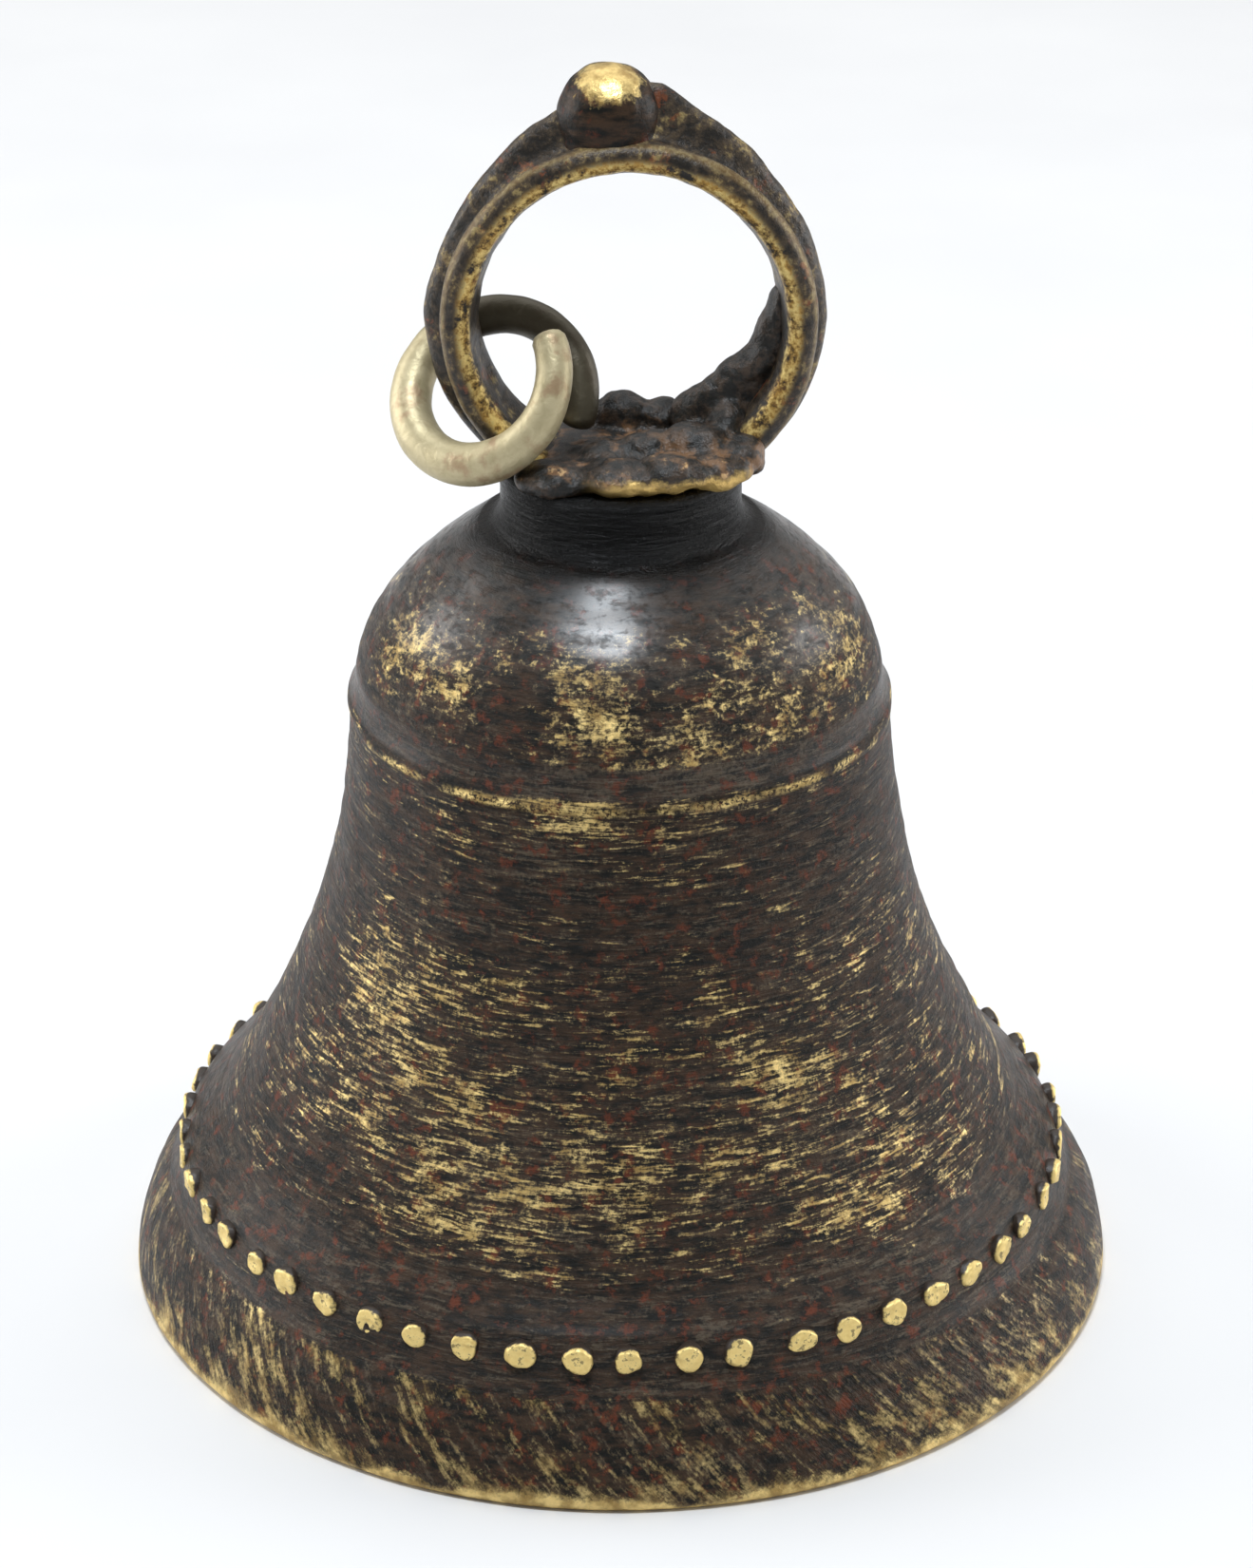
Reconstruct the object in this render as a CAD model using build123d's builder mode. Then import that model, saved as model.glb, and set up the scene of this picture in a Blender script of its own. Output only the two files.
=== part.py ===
"""Small cast temple bell, standing on its mouth. Millimetres, +Z up, origin at the centre of the mouth.

The bell is lost-wax cast: a flared shell with a domed crown and a short solid neck, a row of wax
pellets under the waist, and a finger-ring loop brazed to the neck. A wire link hangs round the loop,
and the clapper hangs inside from a staple set in the crown.
"""
from build123d import *
import math
import os
import random

os.makedirs("parts", exist_ok=True)

# Shell
mouth_r = 30.0          # outside radius of the mouth
lip_wall = 2.8          # wall at the mouth, measured level
wall = 2.4              # wall of the waist and the crown
edge_round = 0.5        # rounding of the rim's two edges
lip_lean = 0.75         # how far the lip's face leans in at half its height
lip_top_out = 0.55      # top of the lip's face, outside the groove and under it
lip_top_drop = 0.9
groove_z = 6.7          # the groove over the lip
groove_r = 27.25
pellet_z = 8.15         # the raised ridge that carries the pellets
ridge_r = 26.75
ridge_fall = 1.1        # the ridge's upper slope, inwards and upwards
ridge_rise = 1.35
waist_z = 10.8          # where the flare starts, over the ridge
waist_r = 24.3
shoulder_z = 36.6       # the raised line round the shoulder
shoulder_r = 15.8
flare_power = 1.87      # how quickly the flare falls away
line_lift = 0.1         # how far the shoulder line stands out
line_h = 0.8            # height of the line
line_step = 0.05        # its upper edge inside its lower one
cove_h = 2.2            # the smooth hollow band over the line
cove_depth = 0.45       # the foot of the dome inside the shoulder
cove_mid_h = 0.65       # the middle of the cove over the line
cove_mid_out = 0.1      # and outside the foot of the dome
dome_h = 9.1            # from the cove to the foot of the neck
dome_side_in = 0.35     # the curve that leaves the cove: inwards and upwards
dome_side_up = 4.1
dome_top_in = 3.75      # the curve that reaches the neck: inwards and downwards
dome_top_drop = 2.3
neck_r = 6.9
neck_h = 3.6
neck_foot = 1.3         # how far the dome ends outside the neck
neck_bend_out = 0.3     # the hollow bend between them
neck_bend_up = 0.5
neck_bend_h = 1.5
inside_waist_share = 1.12   # the wall is a little thicker at the waist
inside_crown_share = 0.72   # how flat the crown is inside
inside_crown_up = 3.4

# Pellets
pellet_count = 53
pellet_r = 0.9
pellet_sunk = 0.3       # centre of a pellet inside the ridge
pellet_stray = 0.9      # degrees, how uneven the hand-set row is
pellet_rise = 0.12      # how far a pellet sits above or below the row

# Crown loop, a band like a finger ring whose axis runs along Y
loop_x = 0.5
loop_sink = 0.2         # how far the hole's lowest point lies below the neck's top
loop_inner_r = 8.85     # front edge of the hole
loop_back_r = 8.35      # back edge of the hole, a little tighter
loop_wall = 1.8         # from the hole's front edge to the front ridge
loop_crest = 0.7        # how far the back ridge stands above the front one
loop_front_y = -2.4
loop_back_y = 2.15
loop_crest_y = 0.6
loop_groove = 0.1       # the groove between the two ridges
loop_groove_w = 1.6     # from the groove to the back ridge
loop_round = 0.35

# Knob on the loop, and the braze round its foot
knob_r = 2.8
knob_x = -0.6
knob_y = 0.6
knob_rise = 0.95        # its centre over the loop's front ridge
braze_r = 6.5
braze_h = 1.75
braze_slope_w = 2.6
braze_slope_h = 1.0
braze_lip_x = 6.2       # the thick torn bead at the right of the braze
braze_lip_out = 0.7     # its centre in front of the loop
braze_lip_r = 1.35
web_front_y = -0.5      # the web of braze that fills the hole's lower right corner, at the back
web_back_y = 1.8
web_turns = (9, -19, -62)       # degrees below and above level, from the loop's centre
web_insides = (0.5, 1.85, 2.8)  # how far each of these points lies inside the hole's edge

# Wire link, one overlapping turn round the loop
link_r = 4.78           # middle of the wire
link_wire_r = 1.15
link_turns = 1.11
link_pitch = 4.2
link_outset = 0.2       # its middle outside the circle of the loop's hole
link_y = 0.03
link_rise = 4.35        # its middle over the top of the neck
link_tilt = -35.8       # degrees, the axis of the turn below level
link_heading = 65.1     # degrees, the axis of the turn from +X
link_start = 145.6      # degrees, where the front end lies on the turn

# Clapper
hang_clear = 0.12       # gap in each ring-on-ring hook
staple_r = 2.4          # middle of the staple's eye
staple_wire_r = 0.8
staple_gap = 0.3        # under the inside of the crown
shank_r = 1.1
shank_grip = 5.0        # how far the shank is set into the crown and the neck
chain_r = 1.7           # middle of the small link's end arcs, and of the rod's eye
chain_wire_r = 0.65
chain_straight = 2.2    # straight side of the small link
rod_r = 0.95
ball_r = 5.0
ball_z = 11.5
ball_socket = 2.0       # how far the rod's end goes into the ball

# Worked out
cove_z = shoulder_z + cove_h
crown_r = shoulder_r - cove_depth
crown_z = cove_z + dome_h
neck_z = crown_z + neck_h
loop_outer_r = loop_inner_r + loop_wall
loop_ridge_r = loop_outer_r + loop_crest
loop_z = neck_z + loop_inner_r - loop_sink
knob_z = loop_z + loop_outer_r + knob_rise
link_z = neck_z + link_rise
link_x = loop_x - math.sqrt((loop_inner_r + link_outset) ** 2 - (loop_z - link_z) ** 2)
shell_top_in = crown_z - wall
staple_z = shell_top_in - staple_r - staple_wire_r - staple_gap
staple_hang_z = staple_z - staple_r
hook_rise = staple_wire_r + chain_wire_r + hang_clear
chain_top_z = staple_hang_z + hook_rise
chain_low_z = chain_top_z - 2 * chain_r - chain_straight
eye_top_z = chain_low_z + 2 * chain_wire_r + hang_clear
eye_z = eye_top_z - chain_r
eye_low_z = eye_z - chain_r


def flare(outer_foot, outer_top, low, high, steps=6):
    """Points of a flare that falls away from its foot as a power of the height."""
    points = []
    for i in range(steps + 1):
        t = i / steps
        r = outer_top + (outer_foot - outer_top) * (1 - t) ** flare_power
        points.append((r, low + (high - low) * t))
    return points


# Shell: lip, groove, pellet ridge, flare, shoulder line, cove, dome and neck in one outline
inner_waist_r = waist_r - wall * inside_waist_share
inner_shoulder_r = shoulder_r - wall
lip_top = (groove_r + lip_top_out, groove_z - lip_top_drop)
line_top = (shoulder_r - line_step, shoulder_z + line_h)
with BuildPart() as shell:
    with BuildSketch(Plane.XZ) as shell_outline:
        with BuildLine():
            Line((mouth_r - lip_wall, 0), (mouth_r, 0))
            ThreePointArc((mouth_r, 0), (mouth_r - lip_lean, groove_z / 2), lip_top)
            Spline(
                lip_top,
                (groove_r, groove_z),
                (ridge_r, pellet_z),
                (ridge_r - ridge_fall, pellet_z + ridge_rise),
                (waist_r, waist_z),
            )
            Spline(*flare(waist_r, shoulder_r, waist_z, shoulder_z))
            ThreePointArc(
                (shoulder_r, shoulder_z),
                (shoulder_r + line_lift, shoulder_z + line_h / 2),
                line_top,
            )
            ThreePointArc(
                line_top,
                (crown_r + cove_mid_out, shoulder_z + line_h + cove_mid_h),
                (crown_r, cove_z),
            )
            Bezier(
                (crown_r, cove_z),
                (crown_r - dome_side_in, cove_z + dome_side_up),
                (crown_r - dome_top_in, crown_z - dome_top_drop),
                (neck_r + neck_foot, crown_z),
            )
            ThreePointArc(
                (neck_r + neck_foot, crown_z),
                (neck_r + neck_bend_out, crown_z + neck_bend_up),
                (neck_r, crown_z + neck_bend_h),
            )
            Line((neck_r, crown_z + neck_bend_h), (neck_r, neck_z))
            Line((neck_r, neck_z), (0, neck_z))
            Line((0, neck_z), (0, shell_top_in))
            Bezier(
                (0, shell_top_in),
                (inner_shoulder_r * inside_crown_share, shell_top_in),
                (inner_shoulder_r, cove_z + inside_crown_up),
                (inner_shoulder_r, shoulder_z),
            )
            Spline(*reversed(flare(inner_waist_r, inner_shoulder_r, waist_z, shoulder_z)))
            Line((inner_waist_r, waist_z), (mouth_r - lip_wall, 0))
        make_face()
    revolve(axis=Axis.Z)
    rim = shell.edges().filter_by(GeomType.CIRCLE).group_by(Axis.Z)[0]
    fillet(rim, edge_round)
    with Locations((0, 0, shell_top_in - 1)):
        Cylinder(
            shank_r,
            shank_grip + 1,
            align=(Align.CENTER, Align.CENTER, Align.MIN),
            mode=Mode.SUBTRACT,
        )
shell.part.label = "bell_shell"
export_step(shell.part, "parts/bell_shell.step")

# Pellets: small beads set by hand round the ridge, each sunk in it over half
random.seed(11)
pellet_step = 360 / pellet_count
with BuildPart() as pellets:
    for i in range(pellet_count):
        turn = math.radians(i * pellet_step + random.uniform(-pellet_stray, pellet_stray))
        out = ridge_r - pellet_sunk
        high = pellet_z + random.uniform(-pellet_rise, pellet_rise)
        with Locations((out * math.cos(turn), out * math.sin(turn), high)):
            Sphere(pellet_r * random.uniform(0.88, 1.0))
pellets.part.label = "pellet_row"
export_step(pellets.part, "parts/pellet_row.step")

# Crown loop: a turned band with a front ridge and a higher back ridge, cut off level on the neck
loop_axis = Axis((loop_x, 0, loop_z), (0, 1, 0))
with BuildPart() as loop:
    with BuildSketch(Plane.YZ.offset(loop_x)) as loop_section:
        with BuildLine():
            Polyline(
                (loop_front_y, loop_z - loop_inner_r),
                (loop_front_y, loop_z - loop_outer_r),
                (loop_crest_y - loop_groove_w, loop_z - loop_outer_r + loop_groove),
                (loop_crest_y, loop_z - loop_ridge_r),
                (loop_back_y, loop_z - loop_outer_r),
                (loop_back_y, loop_z - loop_back_r),
                close=True,
            )
        make_face()
        fillet(loop_section.vertices(), loop_round)
    revolve(axis=loop_axis)
    with Locations((loop_x, 0, neck_z - loop_ridge_r)):
        Box(4 * loop_ridge_r, 4 * loop_ridge_r, 2 * loop_ridge_r, mode=Mode.SUBTRACT)
loop.part.label = "crown_loop"
export_step(loop.part, "parts/crown_loop.step")

# Knob: a ball sunk in the top of the loop
with BuildPart() as knob:
    with Locations((knob_x, knob_y, knob_z)):
        Sphere(knob_r)
    with BuildSketch(Plane.XZ.offset(-loop_ridge_r)) as knob_trim:
        with Locations((loop_x, loop_z)):
            Circle((loop_inner_r + loop_outer_r) / 2)
    extrude(amount=2 * loop_ridge_r, mode=Mode.SUBTRACT)
    add(loop.part, mode=Mode.SUBTRACT)
knob.part.label = "loop_knob"
export_step(knob.part, "parts/loop_knob.step")

# Braze: a low mound of metal that holds the loop's foot to the neck, with a web up the right side
web_edge = []
for degrees, inside in zip(web_turns, web_insides):
    reach = loop_inner_r - inside
    turn = math.radians(degrees)
    web_edge.append((loop_x + reach * math.cos(turn), loop_z + reach * math.sin(turn)))
with BuildPart() as braze:
    with BuildSketch(Plane.XZ) as braze_outline:
        with BuildLine():
            Polyline(
                (0, neck_z),
                (braze_r, neck_z),
                (braze_r, neck_z + braze_h - braze_slope_h),
                (braze_r - braze_slope_w, neck_z + braze_h),
                (0, neck_z + braze_h),
                close=True,
            )
        make_face()
    revolve(axis=Axis.Z)
    with Locations((braze_lip_x, loop_front_y - braze_lip_out, neck_z + braze_lip_r)):
        Sphere(braze_lip_r)
    with BuildSketch(Plane.XZ.offset(-web_back_y)) as web_outline:
        with BuildLine():
            Polyline(*web_edge, (web_edge[2][0], neck_z), (web_edge[0][0], neck_z), close=True)
        make_face()
        with Locations((loop_x, loop_z)):
            Circle(loop_inner_r + loop_wall / 2, mode=Mode.INTERSECT)
    extrude(amount=web_back_y - web_front_y)
    add(loop.part, mode=Mode.SUBTRACT)
braze.part.label = "braze_mound"
export_step(braze.part, "parts/braze_mound.step")

# Wire link: one turn and a little more, its ends side by side
link_axis = Vector(
    math.cos(math.radians(link_tilt)) * math.cos(math.radians(link_heading)),
    math.cos(math.radians(link_tilt)) * math.sin(math.radians(link_heading)),
    math.sin(math.radians(link_tilt)),
)
link_height = link_turns * link_pitch
level = Vector(0, 0, 1).cross(link_axis).normalized()
first = level.rotate(Axis((0, 0, 0), link_axis), link_start)
link_centre = Vector(link_x, link_y, link_z) - link_axis * (link_height / 2)
link_plane = Plane(origin=link_centre, x_dir=first, z_dir=link_axis)
with BuildPart() as turn_of_wire:
    with BuildLine() as link_path:
        Helix(pitch=link_pitch, height=link_height, radius=link_r)
    with BuildSketch(link_path.line ^ 0):
        Circle(link_wire_r)
    sweep(is_frenet=True)
with BuildPart() as link:
    with Locations(link_plane.location):
        add(turn_of_wire.part)
link.part.label = "link_ring"
export_step(link.part, "parts/link_ring.step")

# Staple: an eye under the crown on a shank set into the neck
with BuildPart() as staple:
    with BuildSketch(Plane.XY.offset(staple_z)):
        with Locations((staple_r, 0)):
            Circle(staple_wire_r)
    revolve(axis=Axis((0, 0, staple_z), (0, 1, 0)))
    with Locations((0, 0, staple_z + staple_r)):
        Cylinder(
            shank_r,
            shell_top_in + shank_grip - staple_z - staple_r,
            align=(Align.CENTER, Align.CENTER, Align.MIN),
        )
staple.part.label = "clapper_staple"
export_step(staple.part, "parts/clapper_staple.step")

# Small oval link between the staple and the clapper
with BuildPart() as chain:
    with BuildLine(Plane.YZ) as chain_path:
        arc_top = chain_top_z - chain_r
        arc_low = chain_low_z + chain_r
        Line((chain_r, arc_low), (chain_r, arc_top))
        ThreePointArc((chain_r, arc_top), (0, chain_top_z), (-chain_r, arc_top))
        Line((-chain_r, arc_top), (-chain_r, arc_low))
        ThreePointArc((-chain_r, arc_low), (0, chain_low_z), (chain_r, arc_low))
    with BuildSketch(Plane(origin=(0, chain_r, arc_low), z_dir=(0, 0, 1))):
        Circle(chain_wire_r)
    sweep()
chain.part.label = "clapper_link"
export_step(chain.part, "parts/clapper_link.step")

# Clapper rod with its eye
with BuildPart() as rod:
    with BuildSketch(Plane.XY.offset(eye_z)):
        with Locations((chain_r, 0)):
            Circle(chain_wire_r)
    revolve(axis=Axis((0, 0, eye_z), (0, 1, 0)))
    with Locations((0, 0, eye_low_z)):
        Cylinder(rod_r, eye_low_z - ball_z - ball_r + ball_socket, align=(Align.CENTER, Align.CENTER, Align.MAX))
rod.part.label = "clapper_rod"
export_step(rod.part, "parts/clapper_rod.step")

# Clapper ball, drilled for the end of the rod
with BuildPart() as ball:
    with Locations((0, 0, ball_z)):
        Sphere(ball_r)
    add(rod.part, mode=Mode.SUBTRACT)
ball.part.label = "clapper_ball"
export_step(ball.part, "parts/clapper_ball.step")
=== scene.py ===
# %% [markdown]
# # A small cast temple bell
#
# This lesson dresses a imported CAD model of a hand-made bronze bell. The CAD model is the fixed frame:
# it says where every piece is and how it moves. Here each piece gets a finer mesh, with the uneven
# surface of hand work, and a finish made of nodes: dark patina, worn to bare brass where hands touch.

import math

import bmesh
import bpy
import numpy as np
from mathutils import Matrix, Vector, noise


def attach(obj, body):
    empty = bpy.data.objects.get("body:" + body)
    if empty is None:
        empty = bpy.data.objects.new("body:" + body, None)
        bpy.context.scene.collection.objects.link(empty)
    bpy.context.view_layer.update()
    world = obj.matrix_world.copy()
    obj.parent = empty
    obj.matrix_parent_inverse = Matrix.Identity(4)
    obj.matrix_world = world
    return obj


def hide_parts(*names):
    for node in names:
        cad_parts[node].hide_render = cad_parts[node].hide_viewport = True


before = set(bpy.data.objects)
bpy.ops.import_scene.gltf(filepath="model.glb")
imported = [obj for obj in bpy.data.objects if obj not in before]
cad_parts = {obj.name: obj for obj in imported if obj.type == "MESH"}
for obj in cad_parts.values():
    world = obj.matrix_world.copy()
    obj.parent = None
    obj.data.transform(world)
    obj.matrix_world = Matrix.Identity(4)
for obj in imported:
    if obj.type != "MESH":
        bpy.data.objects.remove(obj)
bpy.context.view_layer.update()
MM = 0.001
print("nodes:", sorted(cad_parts))

# %% [markdown]
# ## The camera and the light
#
# The camera comes first, because every later choice is judged through it. A long lens close to the
# bell looks down on it by about 26 degrees, so the mouth reads as a wide ellipse. A camera can be
# aimed with a Track To constraint, but plain angles are easier to repeat exactly. The view transform is
# Standard, which keeps the blacks of the patina deep.

# %% Camera
camera_data = bpy.data.cameras.new("camera")
camera_data.lens = 94.5
camera_data.clip_start = 0.01
camera = bpy.data.objects.new("camera", camera_data)
camera.location = (0.35 * MM, -220 * MM, 136.4 * MM)
camera.rotation_euler = (math.radians(90 - 25.6), math.radians(0), math.radians(0))
bpy.context.scene.collection.objects.link(camera)
bpy.context.scene.camera = camera
bpy.context.scene.view_settings.view_transform = "Standard"
print("camera", tuple(round(v, 3) for v in camera.location))

# %% [markdown]
# Dark metal is mostly a mirror of its room, so the light is built from large plain shapes. One window
# sized softbox stands high in front and makes the bright patch on the dome. A wide one overhead lights
# the table, and a pale world fills the sides, where the bell's flanks turn grey.

# %% Lights, world and table


def softbox(name, direction, distance, width, height, power):
    """An area light that looks at the middle of the bell from a direction."""
    light = bpy.data.lights.new(name, "AREA")
    light.shape = "RECTANGLE"
    light.size = width
    light.size_y = height
    light.energy = power
    lamp = bpy.data.objects.new(name, light)
    aim = Vector((0, 0, 35 * MM))
    lamp.location = aim + Vector(direction).normalized() * distance
    lamp.rotation_euler = (aim - lamp.location).to_track_quat("-Z", "Y").to_euler()
    bpy.context.scene.collection.objects.link(lamp)
    return lamp


window = softbox("window_light", (-0.07, -0.24, 0.96), 0.7, 0.20, 0.07, 3.8)
window.data.color = (0.88, 0.94, 1.0)
softbox("ceiling_light", (0.0, 0.75, 1.0), 0.9, 1.2, 0.7, 3.4)
softbox("left_light", (-1.0, 0.25, 0.30), 0.8, 0.5, 0.6, 4.4)
softbox("right_light", (1.0, 0.20, 0.25), 0.8, 0.5, 0.5, 4.2)

world = bpy.data.worlds.new("pale_room")
world.use_nodes = True
world.node_tree.nodes["Background"].inputs["Color"].default_value = (1.0, 0.99, 0.97, 1)
world.node_tree.nodes["Background"].inputs["Strength"].default_value = 0.30
bpy.context.scene.world = world

# %% [markdown]
# ## Shader maths written as Python
#
# A node tree with fifty Math nodes is hard to read. One small class wraps a socket, so that
# `1 - mask * 0.5` in Python lays down the Math nodes by itself. A second class holds a material and
# has one method that makes any other node.

# %% A socket that does arithmetic


class Wire:
    """An output socket of a shader tree. Arithmetic on it adds Math nodes."""

    def __init__(self, tree, socket):
        self.tree = tree
        self.socket = socket

    def math(self, operation, *values, clamp=False):
        node = self.tree.nodes.new("ShaderNodeMath")
        node.operation = operation
        node.use_clamp = clamp
        for slot, value in zip(node.inputs, values):
            plug(self.tree, value, slot)
        return Wire(self.tree, node.outputs[0])

    def __add__(self, other):
        return self.math("ADD", self, other)

    def __radd__(self, other):
        return self.math("ADD", other, self)

    def __sub__(self, other):
        return self.math("SUBTRACT", self, other)

    def __rsub__(self, other):
        return self.math("SUBTRACT", other, self)

    def __mul__(self, other):
        return self.math("MULTIPLY", self, other)

    def __rmul__(self, other):
        return self.math("MULTIPLY", other, self)

    def __truediv__(self, other):
        return self.math("DIVIDE", self, other)

    def __abs__(self):
        return self.math("ABSOLUTE", self)

    def clamp(self):
        return self.math("ADD", self, 0.0, clamp=True)

    def at_least(self, other):
        return self.math("MAXIMUM", self, other)

    def root(self):
        return self.math("SQRT", self)

    def angle(self, other):
        """The turn, in radians, from the direction of another wire towards this one."""
        return self.math("ARCTAN2", self, other)


def plug(tree, value, slot):
    """Links a wire to a socket, or writes a plain number or colour on it."""
    if isinstance(value, Wire):
        tree.links.new(value.socket, slot)
    else:
        slot.default_value = value


# %% A finish and its nodes


class Finish:
    """A material with a Principled shader, and short ways to its usual nodes."""

    def __init__(self, name):
        self.material = bpy.data.materials.new(name)
        self.material.use_nodes = True
        self.tree = self.material.node_tree
        self.tree.nodes.clear()
        self.shader = self.tree.nodes.new("ShaderNodeBsdfPrincipled")
        output = self.tree.nodes.new("ShaderNodeOutputMaterial")
        self.tree.links.new(self.shader.outputs[0], output.inputs[0])
        spot = self.tree.nodes.new("ShaderNodeTexCoord")
        self.mm = self.node("ShaderNodeVectorMath", {"operation": "SCALE"},
                            {0: Wire(self.tree, spot.outputs["Object"]), "Scale": 1 / MM})
        axes = self.tree.nodes.new("ShaderNodeSeparateXYZ")
        plug(self.tree, self.mm, axes.inputs[0])
        self.x, self.y, self.z = (Wire(self.tree, out) for out in axes.outputs)

    def node(self, kind, settings, sockets, out=0):
        """Makes one node: settings first, then its sockets by name or number."""
        made = self.tree.nodes.new(kind)
        for key, value in settings.items():
            setattr(made, key, value)
        for key, value in sockets.items():
            plug(self.tree, value, made.inputs[key])
        return Wire(self.tree, made.outputs[out])

    def stretch(self, scale, shift=(0, 0, 0)):
        """The place in millimetres, stretched along each axis and moved."""
        longer = self.node("ShaderNodeVectorMath", {"operation": "MULTIPLY"}, {0: self.mm, 1: scale})
        return self.node("ShaderNodeVectorMath", {"operation": "ADD"}, {0: longer, 1: shift})

    def join(self, x, y, z):
        return self.node("ShaderNodeCombineXYZ", {}, {0: x, 1: y, 2: z})

    def grain(self, place, scale=1.0, detail=3.0, rough=0.55, distort=0.0):
        return self.node("ShaderNodeTexNoise", {"noise_dimensions": "3D"},
                         {"Vector": place, "Scale": scale, "Detail": detail, "Roughness": rough,
                          "Distortion": distort})

    def step(self, value, low, high):
        """0 under low, 1 over high, and a smooth rise between."""
        return self.node("ShaderNodeMapRange", {"interpolation_type": "SMOOTHSTEP"},
                         {"Value": value, "From Min": low, "From Max": high})

    def blend(self, share, first, second):
        """A colour between two colours."""
        return self.node("ShaderNodeMix", {"data_type": "RGBA"}, {0: share, 6: first, 7: second}, out=2)

    def near(self, place, size):
        """1 at a place in millimetres, falling to 0 at a distance."""
        gap = self.node("ShaderNodeVectorMath", {"operation": "DISTANCE"}, {0: self.mm, 1: place}, out=1)
        return (1 - gap / size).clamp()

    def wear(self, **sockets):
        """Writes the finished values on the Principled shader."""
        for key, value in sockets.items():
            plug(self.tree, value, self.shader.inputs[key.replace("_", " ")])

    def bump(self, height, depth):
        """Relief of a depth in millimetres."""
        plug(self.tree, self.node("ShaderNodeBump", {}, {"Strength": 0.8, "Distance": depth * MM,
                                                        "Height": height}), self.shader.inputs["Normal"])


# %% The table
table = bpy.data.meshes.new("table")
table.from_pydata([(-1.5, -1.5, 0), (1.5, -1.5, 0), (1.5, 1.5, 0), (-1.5, 1.5, 0)], [], [(0, 1, 2, 3)])
table_piece = bpy.data.objects.new("table", table)
bpy.context.scene.collection.objects.link(table_piece)
paint = Finish("white_paint")
cloud = paint.grain(paint.mm, 0.02, 3.0)
paint.wear(Base_Color=paint.blend(cloud, (0.68, 0.68, 0.69, 1), (0.77, 0.77, 0.77, 1)), Roughness=0.55)
table.materials.append(paint.material)

# %% [markdown]
# ## The patina
#
# Old brass goes brown-black, and hands rub it bright again on everything that stands out. So one
# material holds both: a mask says how bare the metal is, and the mask mixes dark brown with gold
# and turns the metal on. The mask is a sum of noises at three sizes. The middle one is squashed
# along Z, which gives short level streaks, as left by turning the wax. A few rubbed spots are
# listed, where fingers close round the bell.

# %% Colours of old brass
# The black below is painted shade for the neck's dark reflection, not a colour of the brass.
SHADE_BLACK = (0.003, 0.003, 0.003, 1)
SOOT = (0.007, 0.007, 0.006, 1)
UMBER = (0.046, 0.027, 0.016, 1)
DRAB = (0.105, 0.082, 0.056, 1)
RUST = (0.120, 0.030, 0.013, 1)
BRASS = (0.38, 0.255, 0.090, 1)
BRIGHT = (0.86, 0.65, 0.27, 1)
OCHRE = (0.42, 0.24, 0.055, 1)


def old_brass(finish, bare, smooth=0.0, dirt=0.5, painted_shade=0.0, scuff=0.0):
    """Patina worn bare by a mask: drab where it is scuffed, and painted near black where painted shade is
    laid on.
    """
    tone = finish.step(finish.grain(finish.stretch((0.7, 0.7, 2.2)), 1.0, 5.0, 0.65), 0.38, 0.66)
    dark = finish.blend(tone, SOOT, UMBER)
    dark = finish.blend(scuff, dark, DRAB)
    fleck = finish.step(finish.grain(finish.stretch((1, 1, 1), (31, 7, 3)), 1.0, 5.0, 0.7), 0.54, 0.68)
    # Painted shade: where its share is asked for, the patina turns near black.
    dark = finish.blend(painted_shade, finish.blend(fleck * dirt, dark, RUST), SHADE_BLACK)
    shine = finish.grain(finish.stretch((1, 1, 1), (5, 50, 9)), 0.9, 4.0)
    metal = finish.blend(finish.step(shine, 0.35, 0.65), BRASS, BRIGHT)
    cloudy = finish.grain(finish.mm, 1.7, 3.0)
    finish.wear(Base_Color=finish.blend(bare, dark, metal), Metallic=bare * 0.80,
                Specular_IOR_Level=0.15, Roughness=0.33 + cloudy * 0.20 - smooth * 0.13)


# %% The shell's finish
LIP_R = 29.0
RUBBED = [
    (-12.5, -12.8, 25.0, 7.5, 0.26),
    (-14.0, -13.5, 20.0, 7.0, 0.20),
    (-9.0, -19.0, 16.0, 8.5, 0.31),
    (-4.0, -20.8, 14.5, 6.5, 0.25),
    (1.6, -20.5, 17.0, 6.0, 0.22),
    (13.0, -18.2, 15.0, 9.0, 0.28),
    (8.0, -17.0, 21.0, 6.5, 0.15),
    (12.5, -12.7, 27.0, 7.5, 0.16),
    (-1.0, -14.1, 41.0, 7.0, 0.37),
    (-2.6, -13.6, 43.8, 4.2, 0.16),
    (-9.4, -11.4, 42.2, 5.0, 0.34),
    (4.8, -14.4, 39.6, 4.5, 0.42),
    (9.4, -11.4, 41.6, 5.5, 0.34),
    (-6.2, -13.2, 42.0, 3.8, -0.40),
    (1.4, -14.2, 42.2, 3.0, -0.26),
    (6.7, -13.2, 40.6, 2.8, -0.22),
    (-3.5, -15.5, 35.4, 5.0, 0.27),
    (5.0, -15.0, 35.0, 5.0, 0.18),
    (-12.6, -7.0, 43.2, 5.0, 0.34),
    (12.6, -7.0, 42.8, 5.0, 0.30),
    (5.5, -10.8, 44.6, 4.0, 0.16),
    (-22.0, -20.0, 2.0, 8.0, 0.22),
    (20.0, -20.0, 2.5, 10.0, 0.27),
    (3.0, -29.0, 2.0, 8.0, 0.19),
    (14.0, 13.0, 22.0, 9.0, 0.25),
    (-6.0, 20.5, 16.0, 8.0, 0.25),
    (6.0, 12.5, 41.5, 6.0, 0.27),
    (-17.0, 11.0, 18.0, 8.0, 0.21),
]


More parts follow.
